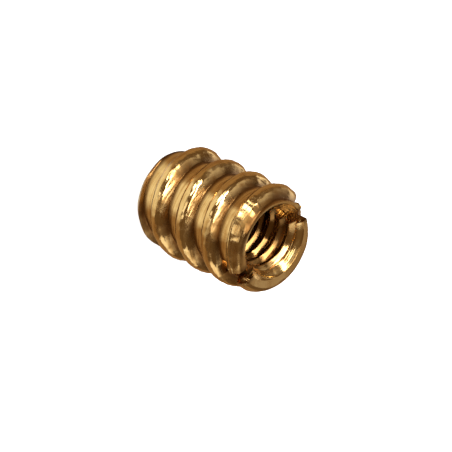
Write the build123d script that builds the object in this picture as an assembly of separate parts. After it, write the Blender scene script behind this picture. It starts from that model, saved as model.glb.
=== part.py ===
from build123d import *
from math import cos, radians, sin, tan
import os

os.makedirs("parts", exist_ok=True)

# A threaded insert for wood, turned from brass bar: a coarse right-hand thread outside, a machine
# thread's bore inside and a driving slot across the top. It stands on its plain end, with the origin
# at the middle of that end, +Z along the axis and the slot along X.

# Driving dimensions, in mm
length = 15.875             # 5/8 in, end face to end face
outer_diameter = 12.0       # over the crests of the wood thread
root_diameter = 9.5         # the plain body between the crests, for a 3/8 in hole
wood_pitch = 3.81           # 0.150 in, one start, right-hand
wood_flank_angle = 27.0     # each flank from square to the axis
wood_crest_radius = 0.85    # the rounded crest
wood_start_angle = 165.0    # direction, from +X, in which the crest line crosses the foot plane

tap_diameter = 6.53         # bore through the tips of the 5/16-18 machine thread
mouth_diameter = 8.5        # countersink where it meets the slotted end
mouth_angle = 90.0          # included angle of the countersink
foot_mouth_diameter = 7.9   # the smaller countersink in the plain end

nose_diameter = 10.2        # slotted end: the crests are turned down to this at the face
nose_length = 1.56          # length of that taper
tail_diameter = 9.6         # plain end: the crests are turned down to this at the face
tail_length = 1.8           # length of that taper
foot_edge = 0.25            # bevel round the outside of the plain end

slot_width = 1.7            # driving slot
slot_depth = 3.2

overlap = 0.2               # how far the ridge's root is sunk into the body, and cutters run past a face

# Worked out from these
outer_radius = outer_diameter / 2
root_radius = root_diameter / 2
tap_radius = tap_diameter / 2


def revolved(outline):
    # a solid turned about Z from an outline of (radius, height) points
    return revolve(Plane.XZ * make_face(Polyline(*outline, close=True)), Axis.Z)


def wood_thread():
    # one start of a rounded V ridge, a turn longer than the insert at both ends
    flank = radians(wood_flank_angle)
    sunk_radius = root_radius - overlap
    round_half = wood_crest_radius * cos(flank)
    round_radius = outer_radius - wood_crest_radius * (1 - sin(flank))
    foot_half = round_half + (round_radius - sunk_radius) * tan(flank)
    flanks = Polyline(
        (round_radius, round_half),
        (sunk_radius, foot_half),
        (sunk_radius, -foot_half),
        (round_radius, -round_half),
    )
    crest = ThreePointArc((round_radius, -round_half), (outer_radius, 0), (round_radius, round_half))
    section = make_face(flanks + crest)
    run = length + 2 * wood_pitch
    path = Helix(wood_pitch, run, root_radius)
    ridge = sweep(Plane.XZ * section, path=path, is_frenet=True)
    return Pos(0, 0, -wood_pitch) * Rot(0, 0, wood_start_angle) * ridge


def turned_envelope():
    # what the lathe leaves: a taper at each end that the ridge may not stand out of
    nose_radius = nose_diameter / 2
    tail_radius = tail_diameter / 2
    clear_radius = outer_radius + overlap
    nose_slope = (outer_radius - nose_radius) / nose_length
    tail_slope = (outer_radius - tail_radius) / tail_length
    return revolved(
        [
            (0, 0),
            (tail_radius, 0),
            (clear_radius, (clear_radius - tail_radius) / tail_slope),
            (clear_radius, length - (clear_radius - nose_radius) / nose_slope),
            (nose_radius, length),
            (0, length),
        ]
    )


def body():
    return revolved(
        [
            (0, 0),
            (root_radius - foot_edge, 0),
            (root_radius, foot_edge),
            (root_radius, length),
            (0, length),
        ]
    )


def bore():
    # the tapped hole, cut at the tips of its thread, with a countersink at each end
    mouth_radius = mouth_diameter / 2
    foot_mouth_radius = foot_mouth_diameter / 2
    slope = tan(radians(mouth_angle / 2))
    return revolved(
        [
            (0, -overlap),
            (foot_mouth_radius + overlap * slope, -overlap),
            (tap_radius, (foot_mouth_radius - tap_radius) / slope),
            (tap_radius, length - (mouth_radius - tap_radius) / slope),
            (mouth_radius + overlap * slope, length + overlap),
            (0, length + overlap),
        ]
    )


def driving_slot():
    run = outer_diameter + 2 * overlap
    height = slot_depth + overlap
    block = Box(run, slot_width, height, align=(Align.CENTER, Align.CENTER, Align.MIN))
    return Pos(0, 0, length - slot_depth) * block


insert = body() + (wood_thread() & turned_envelope())
insert = insert - bore() - driving_slot()
insert.label = "threaded_insert"

export_step(insert, "parts/threaded_insert.step")
print("solids", len(insert.solids()), "valid", insert.is_valid, "volume", round(insert.volume, 2))
print("size", insert.bounding_box().size)
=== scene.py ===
import bpy
import bmesh
import math
from mathutils import Matrix, Vector, noise


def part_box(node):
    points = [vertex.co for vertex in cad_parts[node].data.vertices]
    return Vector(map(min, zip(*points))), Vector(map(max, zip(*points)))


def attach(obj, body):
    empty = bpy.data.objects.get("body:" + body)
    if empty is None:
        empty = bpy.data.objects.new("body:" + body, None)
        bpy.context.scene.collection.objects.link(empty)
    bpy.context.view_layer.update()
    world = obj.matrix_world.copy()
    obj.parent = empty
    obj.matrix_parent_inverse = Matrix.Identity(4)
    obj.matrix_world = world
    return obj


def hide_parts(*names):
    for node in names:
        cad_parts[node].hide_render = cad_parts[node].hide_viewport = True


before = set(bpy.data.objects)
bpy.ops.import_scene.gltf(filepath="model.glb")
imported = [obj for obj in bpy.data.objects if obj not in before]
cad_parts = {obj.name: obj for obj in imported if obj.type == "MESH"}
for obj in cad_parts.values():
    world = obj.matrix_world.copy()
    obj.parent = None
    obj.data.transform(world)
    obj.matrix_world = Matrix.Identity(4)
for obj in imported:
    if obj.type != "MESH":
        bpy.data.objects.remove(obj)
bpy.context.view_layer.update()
cadLow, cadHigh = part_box("threaded_insert")
scene = bpy.context.scene
mm = 0.001
length = (cadHigh.z - cadLow.z) / mm  # shapes are made in millimetres and scaled once, at the end
outerRadius = max(cadHigh.x, cadHigh.y, -cadLow.x, -cadLow.y) / mm


def chain(bm, outline):
    # an open line of edges in the XZ plane through (radius, height) points
    verts = [bm.verts.new((radius, 0, height)) for radius, height in outline]
    for start, end in zip(verts, verts[1:]):
        bm.edges.new((start, end))
    return verts


def roundCorners(bm, verts, size, segments):
    bmesh.ops.bevel(bm, geom=verts, offset=size, offset_type="OFFSET", segments=segments,
                    profile=0.5, affect="VERTICES", material=-1)


def toObject(bm, name):
    mesh = bpy.data.meshes.new(name)
    bm.to_mesh(mesh)
    bm.free()
    piece = bpy.data.objects.new(name, mesh)
    scene.collection.objects.link(piece)
    return piece


def turnedSolid(name, outline, segments, rounded):
    # a closed solid turned about Z, from an outline that starts and ends on the axis
    # rounded gives the size at each corner that is rounded
    bm = bmesh.new()
    verts = chain(bm, outline)
    for corner, size in rounded.items():
        roundCorners(bm, [verts[corner]], size, 4)
    bmesh.ops.subdivide_edges(bm, edges=bm.edges[:], cuts=4)
    bmesh.ops.spin(bm, geom=bm.verts[:] + bm.edges[:], axis=(0, 0, 1), cent=(0, 0, 0),
                   angle=math.tau, steps=segments, use_merge=True)
    bmesh.ops.remove_doubles(bm, verts=bm.verts[:], dist=1e-4)
    bmesh.ops.recalc_face_normals(bm, faces=bm.faces[:])
    return toObject(bm, name)


def threadedSkin(outline, rounds, pitch, steps, low, high, startAngle):
    # one pitch of outline, spun into a helical skin that runs past low and high by more than a turn
    # each of rounds is the corners to round, a size and its segments
    bm = bmesh.new()
    verts = chain(bm, outline)
    for picked, size, segments in rounds:
        roundCorners(bm, [verts[i] for i in picked], size, segments)
    turns = math.ceil((high - low) / pitch) + 3
    firstCrest = math.floor((low - 1.5 * pitch) / pitch) * pitch
    bmesh.ops.spin(bm, geom=bm.verts[:] + bm.edges[:], axis=(0, 0, 1), cent=(0, 0, 0),
                   dvec=(0, 0, pitch / steps), angle=math.tau, steps=steps)
    oneTurn = bm.verts[:] + bm.edges[:] + bm.faces[:]
    for turn in range(1, turns):
        copied = bmesh.ops.duplicate(bm, geom=oneTurn)["geom"]
        bmesh.ops.translate(bm, verts=[v for v in copied if isinstance(v, bmesh.types.BMVert)],
                            vec=(0, 0, turn * pitch))
    bmesh.ops.translate(bm, verts=bm.verts[:], vec=(0, 0, firstCrest))
    bmesh.ops.remove_doubles(bm, verts=bm.verts[:], dist=1e-4)
    bmesh.ops.rotate(bm, verts=bm.verts[:], cent=(0, 0, 0),
                     matrix=Matrix.Rotation(math.radians(startAngle), 3, "Z"))
    return bm


def closeRod(bm, low, high, name):
    # the skin cut flat at both heights and capped
    for height, normal in ((low, (0, 0, -1)), (high, (0, 0, 1))):
        geometry = bm.verts[:] + bm.edges[:] + bm.faces[:]
        bmesh.ops.bisect_plane(bm, geom=geometry, dist=1e-5, plane_co=(0, 0, height),
                               plane_no=normal, clear_outer=True)
    bmesh.ops.remove_doubles(bm, verts=bm.verts[:], dist=1e-4)
    bmesh.ops.holes_fill(bm, edges=[e for e in bm.edges if e.is_boundary], sides=0)
    bmesh.ops.recalc_face_normals(bm, faces=bm.faces[:])
    return toObject(bm, name)


def combine(piece, cutter, operation):
    modifier = piece.modifiers.new("combine", "BOOLEAN")
    modifier.operation = operation
    modifier.solver = "MANIFOLD"
    modifier.object = cutter
    graph = bpy.context.evaluated_depsgraph_get()
    mesh = bpy.data.meshes.new_from_object(piece.evaluated_get(graph))
    piece.modifiers.clear()
    piece.data = mesh
    bpy.data.objects.remove(cutter)
    print("combined", operation, len(mesh.polygons), "faces")


insertShape = {
    "rootRadius": 4.75,       # plain body between the crests
    "pitch": 3.81,
    "startAngle": 165.0,      # where the crest line crosses the foot plane
    "flankAngle": 27.0,
    "crestRadius": 0.85,
    "footRound": 0.12,
    "rimRound": 0.42,         # outer edge of the slotted end
    "tailRound": 0.22,        # and of the plain end
    "steps": 160,             # round one turn of the wood thread
    "turningSteps": 256,
    "noseRadius": 5.1,        # both ends taper: the radius at the face, then the taper's length
    "noseLength": 1.56,
    "tailRadius": 4.8,
    "tailLength": 1.8,
    "tapRadius": 3.265,       # tips of the machine thread
    "tapDepth": 0.71,         # from its tips to its roots
    "tapPitch": 1.4111,
    "tapFlankAngle": 30.0,
    "tapTipRound": 0.09,
    "tapRootRound": 0.05,
    "tapStart": 90.0,
    "tapSteps": 96,
    "mouthRadius": 4.25,
    "footMouthRadius": 3.95,
    "mouthSteps": 192,
    "boreShift": (0.08, 0.29),  # the bore is drilled a little off the axis
    "slotWidth": 1.7,
    "slotDepth": 3.2,
    "slotCuts": 15,
    "sawWobble": 0.08,
    "burrs": ((-4.55, 0.62, 0.95, 0.42), (-4.75, -0.70, 0.40, 0.36), (-4.2, 0.25, 1.7, 0.40),
              (4.5, 0.95, 0.36, 0.30), (4.1, -0.95, 0.60, 0.22)),  # x, y, depth below the face, size
    "burrCrumple": 0.9,       # share of a burr's size
    "waver": 0.07,            # wear: how far it moves the surface, then the size of its lumps
    "waverSize": 1.6,
    "nicks": 0.05,            # only on the crests
    "nickSize": 0.45,
    "crestStart": 5.2,        # the radius where a crest begins
    "crestBlend": 0.6,
    "tear": 0.12,             # only round the slot
    "tearSize": 0.6,
    "tearReach": 1.7,         # from the slot's middle
    "tearDepth": 3.6,         # below the slotted face
    "faceBlend": 0.4,         # the end faces stay flat, and wear moves heights fully this far from them
    "weld": 0.004,
    "sliver": 0.003,
    "sharpAngle": 35.0,       # edges sharper than this stay crisp
    "margin": 0.6,            # how far a cutter runs past what it cuts
}


def makeBody():
    shape = insertShape
    flank = math.radians(shape["flankAngle"])
    pitch = shape["pitch"]
    tip = shape["crestRadius"] * math.tan(math.pi / 4 - flank / 2)  # half of the flat before rounding
    foot = tip + (outerRadius - shape["rootRadius"]) * math.tan(flank)
    outline = [(shape["rootRadius"], -pitch / 2), (shape["rootRadius"], -foot), (outerRadius, -tip),
               (outerRadius, tip), (shape["rootRadius"], foot), (shape["rootRadius"], pitch / 2)]
    rounds = [((2, 3), tip, 6), ((1, 4), shape["footRound"], 3)]
    low, high = -pitch / 2, length + pitch / 2
    bm = threadedSkin(outline, rounds, pitch, shape["steps"], low, high, shape["startAngle"])
    body = closeRod(bm, low, high, "threadedInsert")
    clear = outerRadius + shape["margin"]
    noseSlope = (outerRadius - shape["noseRadius"]) / shape["noseLength"]
    tailSlope = (outerRadius - shape["tailRadius"]) / shape["tailLength"]
    outline = [(0, 0), (shape["tailRadius"], 0), (clear, (clear - shape["tailRadius"]) / tailSlope),
               (clear, length - (clear - shape["noseRadius"]) / noseSlope),
               (shape["noseRadius"], length), (0, length)]
    rounded = {1: shape["tailRound"], 4: shape["rimRound"]}
    combine(body, turnedSolid("turning", outline, shape["turningSteps"], rounded), "INTERSECT")
    return body


def cutBore(body):
    shape = insertShape
    pitch = shape["tapPitch"]
    run = shape["margin"]
    low, high = -run, length + run
    rootHalf = pitch / 16
    tipHalf = pitch / 2 - (rootHalf + shape["tapDepth"] * math.tan(math.radians(shape["tapFlankAngle"])))
    tipRadius = shape["tapRadius"]
    rootRadius = tipRadius + shape["tapDepth"]
    outline = [(tipRadius, -pitch / 2), (tipRadius, -pitch / 2 + tipHalf), (rootRadius, -rootHalf),
               (rootRadius, rootHalf), (tipRadius, pitch / 2 - tipHalf), (tipRadius, pitch / 2)]
    rounds = [((1, 4), shape["tapTipRound"], 2), ((2, 3), shape["tapRootRound"], 2)]
    bm = threadedSkin(outline, rounds, pitch, shape["tapSteps"], low, high, shape["tapStart"])
    bmesh.ops.translate(bm, verts=bm.verts[:], vec=(*shape["boreShift"], 0))
    combine(body, closeRod(bm, low, high, "tap"), "DIFFERENCE")
    for name, mouth, face, out in (("countersink", shape["mouthRadius"], length, 1),
                                   ("footCountersink", shape["footMouthRadius"], 0, -1)):
        outline = [(0, face - out * mouth), (mouth + run, face + out * run), (0, face + out * run)]
        drill = turnedSolid(name, outline, shape["mouthSteps"], {})
        drill.location = (*shape["boreShift"], 0)
        combine(body, drill, "DIFFERENCE")


def crumpled(place, size, seed):
    # smooth noise between about -1 and 1, in lumps of this size
    return noise.noise(place / size + Vector((seed, seed, seed)))


def cutSlot(body):
    shape = insertShape
    bm = bmesh.new()
    bmesh.ops.create_cube(bm, size=1)
    bmesh.ops.subdivide_edges(bm, edges=bm.edges[:], cuts=shape["slotCuts"], use_grid_fill=True)
    height = shape["slotDepth"] + shape["margin"]
    across = 2 * (outerRadius + shape["margin"])
    bmesh.ops.scale(bm, verts=bm.verts[:], vec=(across, shape["slotWidth"], height))
    bmesh.ops.translate(bm, verts=bm.verts[:], vec=(0, 0, length - shape["slotDepth"] + height / 2))
    for vert in bm.verts:
        vert.co.y += shape["sawWobble"] * crumpled(vert.co, 1.3, 3)
        vert.co.z += shape["sawWobble"] * crumpled(vert.co, 1.1, 8)
    combine(body, toObject(bm, "slotSaw"), "DIFFERENCE")


def addBurrs(body):
    # torn metal left at the mouth of the slot
    for number, (x, y, drop, size) in enumerate(insertShape["burrs"]):
        bm = bmesh.new()
        bmesh.ops.create_icosphere(bm, subdivisions=3, radius=size)
        for vert in bm.verts:
            vert.co *= 1 + insertShape["burrCrumple"] * crumpled(vert.co, size * 0.8, number)
        bmesh.ops.translate(bm, verts=bm.verts[:], vec=(x, y, length - drop))
        combine(body, toObject(bm, "burr"), "UNION")


def wearSurface(bm):
    # the slow unevenness of a turned thread, stronger on its crests and round the slot
    shape = insertShape
    bm.normal_update()
    moves = []
    for vert in bm.verts:
        place = vert.co
        crest = min(max((place.xy.length - shape["crestStart"]) / shape["crestBlend"], 0), 1)
        torn = max(0, 1 - abs(place.y) / shape["tearReach"])
        torn *= max(0, 1 - (length - place.z) / shape["tearDepth"])
        depth = shape["waver"] * crumpled(place, shape["waverSize"], 1)
        depth += crest * shape["nicks"] * crumpled(place, shape["nickSize"], 5)
        depth += torn * shape["tear"] * crumpled(place, shape["tearSize"], 9)
        move = vert.normal * depth
        move.z *= min(max(min(place.z, length - place.z) / shape["faceBlend"], 0), 1)
        moves.append(move)
    for vert, move in zip(bm.verts, moves):
        vert.co += move


def finishMesh(piece):
    # cleaned, worn, brought to metres and shaded smooth
    bm = bmesh.new()
    bm.from_mesh(piece.data)
    bmesh.ops.remove_doubles(bm, verts=bm.verts[:], dist=insertShape["weld"])
    bmesh.ops.dissolve_degenerate(bm, edges=bm.edges[:], dist=insertShape["sliver"])
    wearSurface(bm)
    bmesh.ops.scale(bm, verts=bm.verts[:], vec=(mm, mm, mm))
    limit = math.radians(insertShape["sharpAngle"])
    for edge in bm.edges:
        edge.smooth = not (len(edge.link_faces) == 2 and edge.calc_face_angle(0) > limit)
    for face in bm.faces:
        face.smooth = True
    rough = [e for e in bm.edges if not e.is_manifold]
    print("finished", piece.name, len(bm.faces), "faces", sum(len(f.verts) - 2 for f in bm.faces),
          "triangles", len(rough), "loose or open edges")
    bm.to_mesh(piece.data)
    bm.free()


body = makeBody()
cutBore(body)
cutSlot(body)
addBurrs(body)
finishMesh(body)
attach(body, "root")
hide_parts("threaded_insert")
print("insert made")


class Value:
    # a number or vector in a node tree, so that shader maths reads as Python
    def __init__(self, tree, socket):
        self.tree, self.socket = tree, socket

    def maths(self, operation, *terms):
        return self.node("ShaderNodeMath", {"operation": operation}, dict(enumerate(terms)))

    def node(self, kind, settings, inputs, output=0):
        made = self.tree.nodes.new(kind)
        for key, setting in settings.items():
            setattr(made, key, setting)
        for key, given in inputs.items():
            if isinstance(given, Value):
                self.tree.links.new(given.socket, made.inputs[key])
            else:
                made.inputs[key].default_value = given
        return Value(self.tree, made.outputs[output] if made.outputs else None)

    def mix(self, a, b):
        # this value as the factor between two colours
        return self.node("ShaderNodeMix", {"data_type": "RGBA"}, {0: self, 6: a, 7: b}, 2)

    def between(self, low, high):
        # 0 at low and below, 1 at high and above, smooth in between
        return self.node("ShaderNodeMapRange", {"interpolation_type": "SMOOTHSTEP"},
                         {"Value": self, "From Min": low, "From Max": high})

    def scaled(self, vector):
        return self.node("ShaderNodeVectorMath", {"operation": "MULTIPLY"}, {0: self, 1: vector})

    def noise(self, scale, detail=2.0, roughness=0.5):
        return self.node("ShaderNodeTexNoise", {}, {"Vector": self, "Scale": scale, "Detail": detail,
                                                    "Roughness": roughness})

    def sibling(self, output):
        # another output of the node that gave this value
        return Value(self.tree, self.socket.node.outputs[output])

    def parts(self):
        made = self.node("ShaderNodeSeparateXYZ", {}, {0: self})
        return [made.sibling(axis) for axis in "XYZ"]

    def __add__(self, other):
        return self.maths("ADD", self, other)

    def __sub__(self, other):
        return self.maths("SUBTRACT", self, other)

    def __rsub__(self, other):
        return self.maths("SUBTRACT", other, self)

    def __mul__(self, other):
        return self.maths("MULTIPLY", self, other)

    __radd__ = __add__
    __rmul__ = __mul__


def openTree(owner):
    owner.use_nodes = True
    owner.node_tree.nodes.clear()
    return Value(owner.node_tree, None)


brassLook = {
    "bright": (0.87, 0.60, 0.25, 1),
    "tarnish": (0.52, 0.26, 0.06, 1),
    "tarnishAmount": 0.75,
    "tarnishRange": (0.48, 0.72),       # of the noise that makes it
    "polish": 0.13,                     # roughness where the metal is cleanest
    "dullness": 0.26,                   # added where it is handled or tarnished
    "dullRange": (0.4, 0.75),
    "bumpDepth": 0.00003,
    "latheMarks": 1.0,                  # strength of the turned rings, then how fine they are
    "latheScale": (110, 110, 3300),
    "scratches": 0.45,
    "scratchScale": (160, 160, 7500),
    "ripple": 0.75,                     # the slow unevenness
    "rippleScale": 900.0,
    "grain": 0.12,
    "grainScale": 4200.0,
    "blotchScale": 420.0,
    # a dark brown for painted shade and dirt, at the foot of the thread and in the slot
    "shadeAndDirt": (0.16, 0.065, 0.014, 1),
    "footShadeAndDirtPlace": 0.31,                 # along the pitch from the crest: dirt and painted shade at the foot of the thread
    "footShadeAndDirtHalf": 0.16,
    "footShadeAndDirtAmount": 0.92,
    "footShadeAndDirtDullness": 0.12,
    "footShadeAndDirtRadii": (0.0045, 0.0047),     # it starts and is full at these radii, in metres
    "footShadeAndDirtWander": 0.12,
    "lipPlace": 0.93,                   # the fine rolled line behind the crest
    "lipHalf": 0.035,
    "lipHeight": 0.9,
    # painted shade and dirt in the sawn slot: how strong, then where
    "slotShadeAndDirtAmount": 0.7,
    "slotHalf": (0.0009, 0.0015),
    "slotRadii": (0.0038, 0.0044),
    "slotHeights": (0.0122, 0.0130),
    # painted shade inside the bore
    "bore": (0.30, 0.16, 0.05, 1),
    "boreRadii": (0.0037, 0.0041),
    "boreHeights": (0.0141, 0.0150),
}


def brassMaterial():
    look = brassLook
    material = bpy.data.materials.new("turnedBrass")
    make = openTree(material)
    place = make.node("ShaderNodeTexCoord", {}, {}, "Object")
    rings = place.scaled(look["latheScale"]).noise(1.0)
    scratches = place.scaled(look["scratchScale"]).noise(1.0, 1.0)
    blotches = place.noise(look["blotchScale"], 3.0, 0.6)
    ripple = place.noise(look["rippleScale"])
    grain = place.noise(look["grainScale"], 1.0)
    stain = (blotches * 0.5 + rings * 0.4 + scratches * 0.25).between(*look["tarnishRange"])
    x, y, z = place.parts()
    radius = make.maths("SQRT", x * x + y * y)
    # how far along the pitch a point lies from the crest of the wood thread, 0 to 1
    turn = make.maths("ARCTAN2", y, x) * (1 / math.tau) - insertShape["startAngle"] / 360
    phase = make.maths("FRACT", z * (1 / (insertShape["pitch"] * mm)) - turn + 2)
    wander = (blotches - 0.5) * look["footShadeAndDirtWander"]
    near = make.maths("ABSOLUTE", phase - look["footShadeAndDirtPlace"] + wander)
    # painted shade and dirt: a dark band along the foot of the thread, in the crease beside each crest
    footShadeAndDirt = (1 - near.between(0.01, look["footShadeAndDirtHalf"])) * radius.between(*look["footShadeAndDirtRadii"])
    near = make.maths("ABSOLUTE", phase - look["lipPlace"] + wander * 0.2)
    lip = 1 - near.between(0.0, look["lipHalf"])
    # painted shade: the inside of the bore is darkened, except near the slotted face
    boreShadeMask = (1 - radius.between(*look["boreRadii"])) * (1 - z.between(*look["boreHeights"]))
    # painted shade and dirt: the slot's walls and floor are darkened, outside the bore
    slotShadeAndDirtMask = 1 - make.maths("ABSOLUTE", y).between(*look["slotHalf"])
    slotShadeAndDirtMask = slotShadeAndDirtMask * radius.between(*look["slotRadii"]) * z.between(*look["slotHeights"])
    colour = (stain * look["tarnishAmount"]).mix(look["bright"], look["tarnish"])
    # painted shade and dirt darken the foot of the thread, then the slot
    colour = (footShadeAndDirt * look["footShadeAndDirtAmount"]).mix(colour, look["shadeAndDirt"])
    colour = (slotShadeAndDirtMask * look["slotShadeAndDirtAmount"]).mix(colour, look["shadeAndDirt"])
    colour = boreShadeMask.mix(colour, look["bore"])
    roughness = look["polish"] + blotches.between(*look["dullRange"]) * look["dullness"]
    roughness = roughness + footShadeAndDirt * look["footShadeAndDirtDullness"]
    height = rings * look["latheMarks"] + scratches * look["scratches"] + ripple * look["ripple"]
    height = height + grain * look["grain"] + lip * look["lipHeight"]
    bump = make.node("ShaderNodeBump", {}, {
        "Strength": 1.0, "Distance": look["bumpDepth"], "Height": height})
    shader = make.node("ShaderNodeBsdfPrincipled", {}, {
        "Base Color": colour, "Metallic": 1.0, "Roughness": roughness, "Normal": bump})
    make.node("ShaderNodeOutputMaterial", {}, {"Surface": shader})
    return material


body.data.materials.clear()
body.data.materials.append(brassMaterial())
print("brass made")


viewShape = {
    "azimuth": 115.0,       # of the camera from +X, in degrees
    "elevation": 39.9,
    "axisSlope": -26.2,     # of the insert's axis across the view
    "distance": 0.4995,
    "lens": 380.0,
    "right": 0.36,          # how far the view's middle stands from the insert's, in millimetres
    "down": 0.786,
}


def direction(azimuth, elevation):
    azimuth, elevation = math.radians(azimuth), math.radians(elevation)
    return Vector((math.cos(elevation) * math.cos(azimuth), math.cos(elevation) * math.sin(azimuth),
                   math.sin(elevation)))


def aimCamera():
    view = viewShape
    slope = math.radians(view["axisSlope"])
    back = direction(view["azimuth"], view["elevation"])
    axisUp = (Vector((0, 0, 1)) - back.z * back).normalized()
    axisRight = axisUp.cross(back)
    right = math.cos(slope) * axisUp + math.sin(slope) * axisRight
    up = math.sin(slope) * axisUp - math.cos(slope) * axisRight
    middle = Vector((0, 0, length * mm / 2)) + (right * view["right"] - up * view["down"]) * mm
    camera = bpy.data.objects.new("camera", bpy.data.cameras.new("camera"))
    camera.data.lens = view["lens"]
    camera.data.sensor_width = 36
    camera.data.clip_start = 0.01
    turn = Matrix((right, up, back)).transposed().to_4x4()
    camera.matrix_world = Matrix.Translation(middle + back * view["distance"]) @ turn
    scene.collection.objects.link(camera)
    scene.camera = camera


aimCamera()

studio = {
    # azimuth, elevation, distance, width, height, watts
    "lamps": ((58.0, 46.0, 0.40, 0.085, 0.27, 0.80),
              (94.0, 66.0, 0.30, 0.12, 0.10, 0.26),
              (-7.0, 50.0, 0.35, 0.22, 0.22, 0.080),
              (79.0, 19.0, 0.40, 0.13, 0.10, 0.24),
              (124.0, 17.0, 0.40, 0.20, 0.14, 0.11),
              (-40.0, 6.0, 0.40, 0.30, 0.09, 0.09),
              (218.0, 26.0, 0.35, 0.20, 0.28, 0.20),
              (295.0, 40.0, 0.35, 0.24, 0.20, 0.045)),
    "dim": (0.145, 0.092, 0.048, 1),   # the room, as the metal reflects it
    "low": (0.36, 0.235, 0.125, 1),    # the floor, as the metal reflects it: painted light, a warm brown glow
    "glow": (1.0, 0.97, 0.88, 1),      # the same for the floor's bright part: a painted pool of light that the metal reflects
    "sector": 115.0,                   # azimuth of the bright part
    "sectorHalf": (24.0, 46.0),        # full brightness within, none beyond
    "paintedShadow": (0.01, 0.005, 0.002, 1),  # and for the floor beneath the insert: a painted shadow
    "paintedShadowReach": (0.0045, 0.0052),    # from the axis
    "paper": (1.0, 1.0, 1.0, 1),       # what the camera sees of the floor and the room
    "ambient": (0.35, 0.34, 0.33, 1),
    "shadow": 0.15,                    # share of the floor's white that lamps make
    "floorPaint": (0.9, 0.9, 0.9, 1),
    "floorSize": 1.5,
}


def areaLight(name, azimuth, elevation, distance, width, height, power):
    light = bpy.data.lights.new(name, "AREA")
    light.shape = "RECTANGLE"
    light.size, light.size_y = width, height
    light.energy = power
    lamp = bpy.data.objects.new(name, light)
    away = direction(azimuth, elevation)
    lamp.location = Vector((0, 0, length * mm / 2)) + away * distance
    lamp.rotation_euler = away.to_track_quat("Z", "Y").to_euler()
    scene.collection.objects.link(lamp)


for number, lamp in enumerate(studio["lamps"]):
    areaLight("lamp" + str(number), *lamp)


def makeFloor():
    # white to the camera; to what the metal reflects it glows with painted light, a bright sector on the
    # camera's side, warm brown elsewhere and a painted shadow beneath the insert
    bm = bmesh.new()
    bmesh.ops.create_grid(bm, x_segments=1, y_segments=1, size=studio["floorSize"])
    floor = toObject(bm, "floor")
    material = bpy.data.materials.new("paperFloor")
    make = openTree(material)
    seen = make.node("ShaderNodeLightPath", {}, {}, "Is Camera Ray")
    mirrored = seen.sibling("Is Glossy Ray") + seen.sibling("Is Transmission Ray")
    place = make.node("ShaderNodeTexCoord", {}, {}, "Object")
    x, y, _ = place.parts()
    turned = make.maths("ARCTAN2", y, x) - math.radians(studio["sector"])
    sine, cosine = make.maths("SINE", turned), make.maths("COSINE", turned)
    away = make.maths("ABSOLUTE", make.maths("ARCTAN2", sine, cosine))
    bright = 1 - away.between(*[math.radians(half) for half in studio["sectorHalf"]])
    reflected = bright.mix(studio["low"], studio["glow"])
    distance = make.maths("SQRT", x * x + y * y)
    # painted shadow: the floor round the insert's foot is dark in reflections
    reflected = distance.between(*studio["paintedShadowReach"]).mix(studio["paintedShadow"], reflected)
    paper = make.node("ShaderNodeEmission", {}, {
        "Color": studio["paper"], "Strength": 1 - studio["shadow"]})
    lit = make.node("ShaderNodeBsdfDiffuse", {}, {"Color": studio["floorPaint"]})
    backdrop = make.node("ShaderNodeAddShader", {}, {0: paper, 1: lit})
    # painted light: the floor glows with this colour only for rays that the metal reflects
    mirror = make.node("ShaderNodeEmission", {}, {"Color": reflected, "Strength": 1.0})
    plain = make.node("ShaderNodeMixShader", {}, {0: seen, 1: lit, 2: backdrop})
    both = make.node("ShaderNodeMixShader", {}, {0: mirrored, 1: plain, 2: mirror})
    make.node("ShaderNodeOutputMaterial", {}, {"Surface": both})
    floor.data.materials.append(material)


def makeWorld():
    world = bpy.data.worlds.new("room")
    make = openTree(world)
    seen = make.node("ShaderNodeLightPath", {}, {}, "Is Camera Ray")
    room = seen.sibling("Is Glossy Ray").mix(studio["ambient"], studio["dim"])
    sky = seen.mix(room, studio["paper"])
    light = make.node("ShaderNodeBackground", {}, {"Color": sky, "Strength": 1.0})
    make.node("ShaderNodeOutputWorld", {}, {"Surface": light})
    scene.world = world


makeFloor()
makeWorld()
scene.view_settings.view_transform = "Standard"
print("studio made")
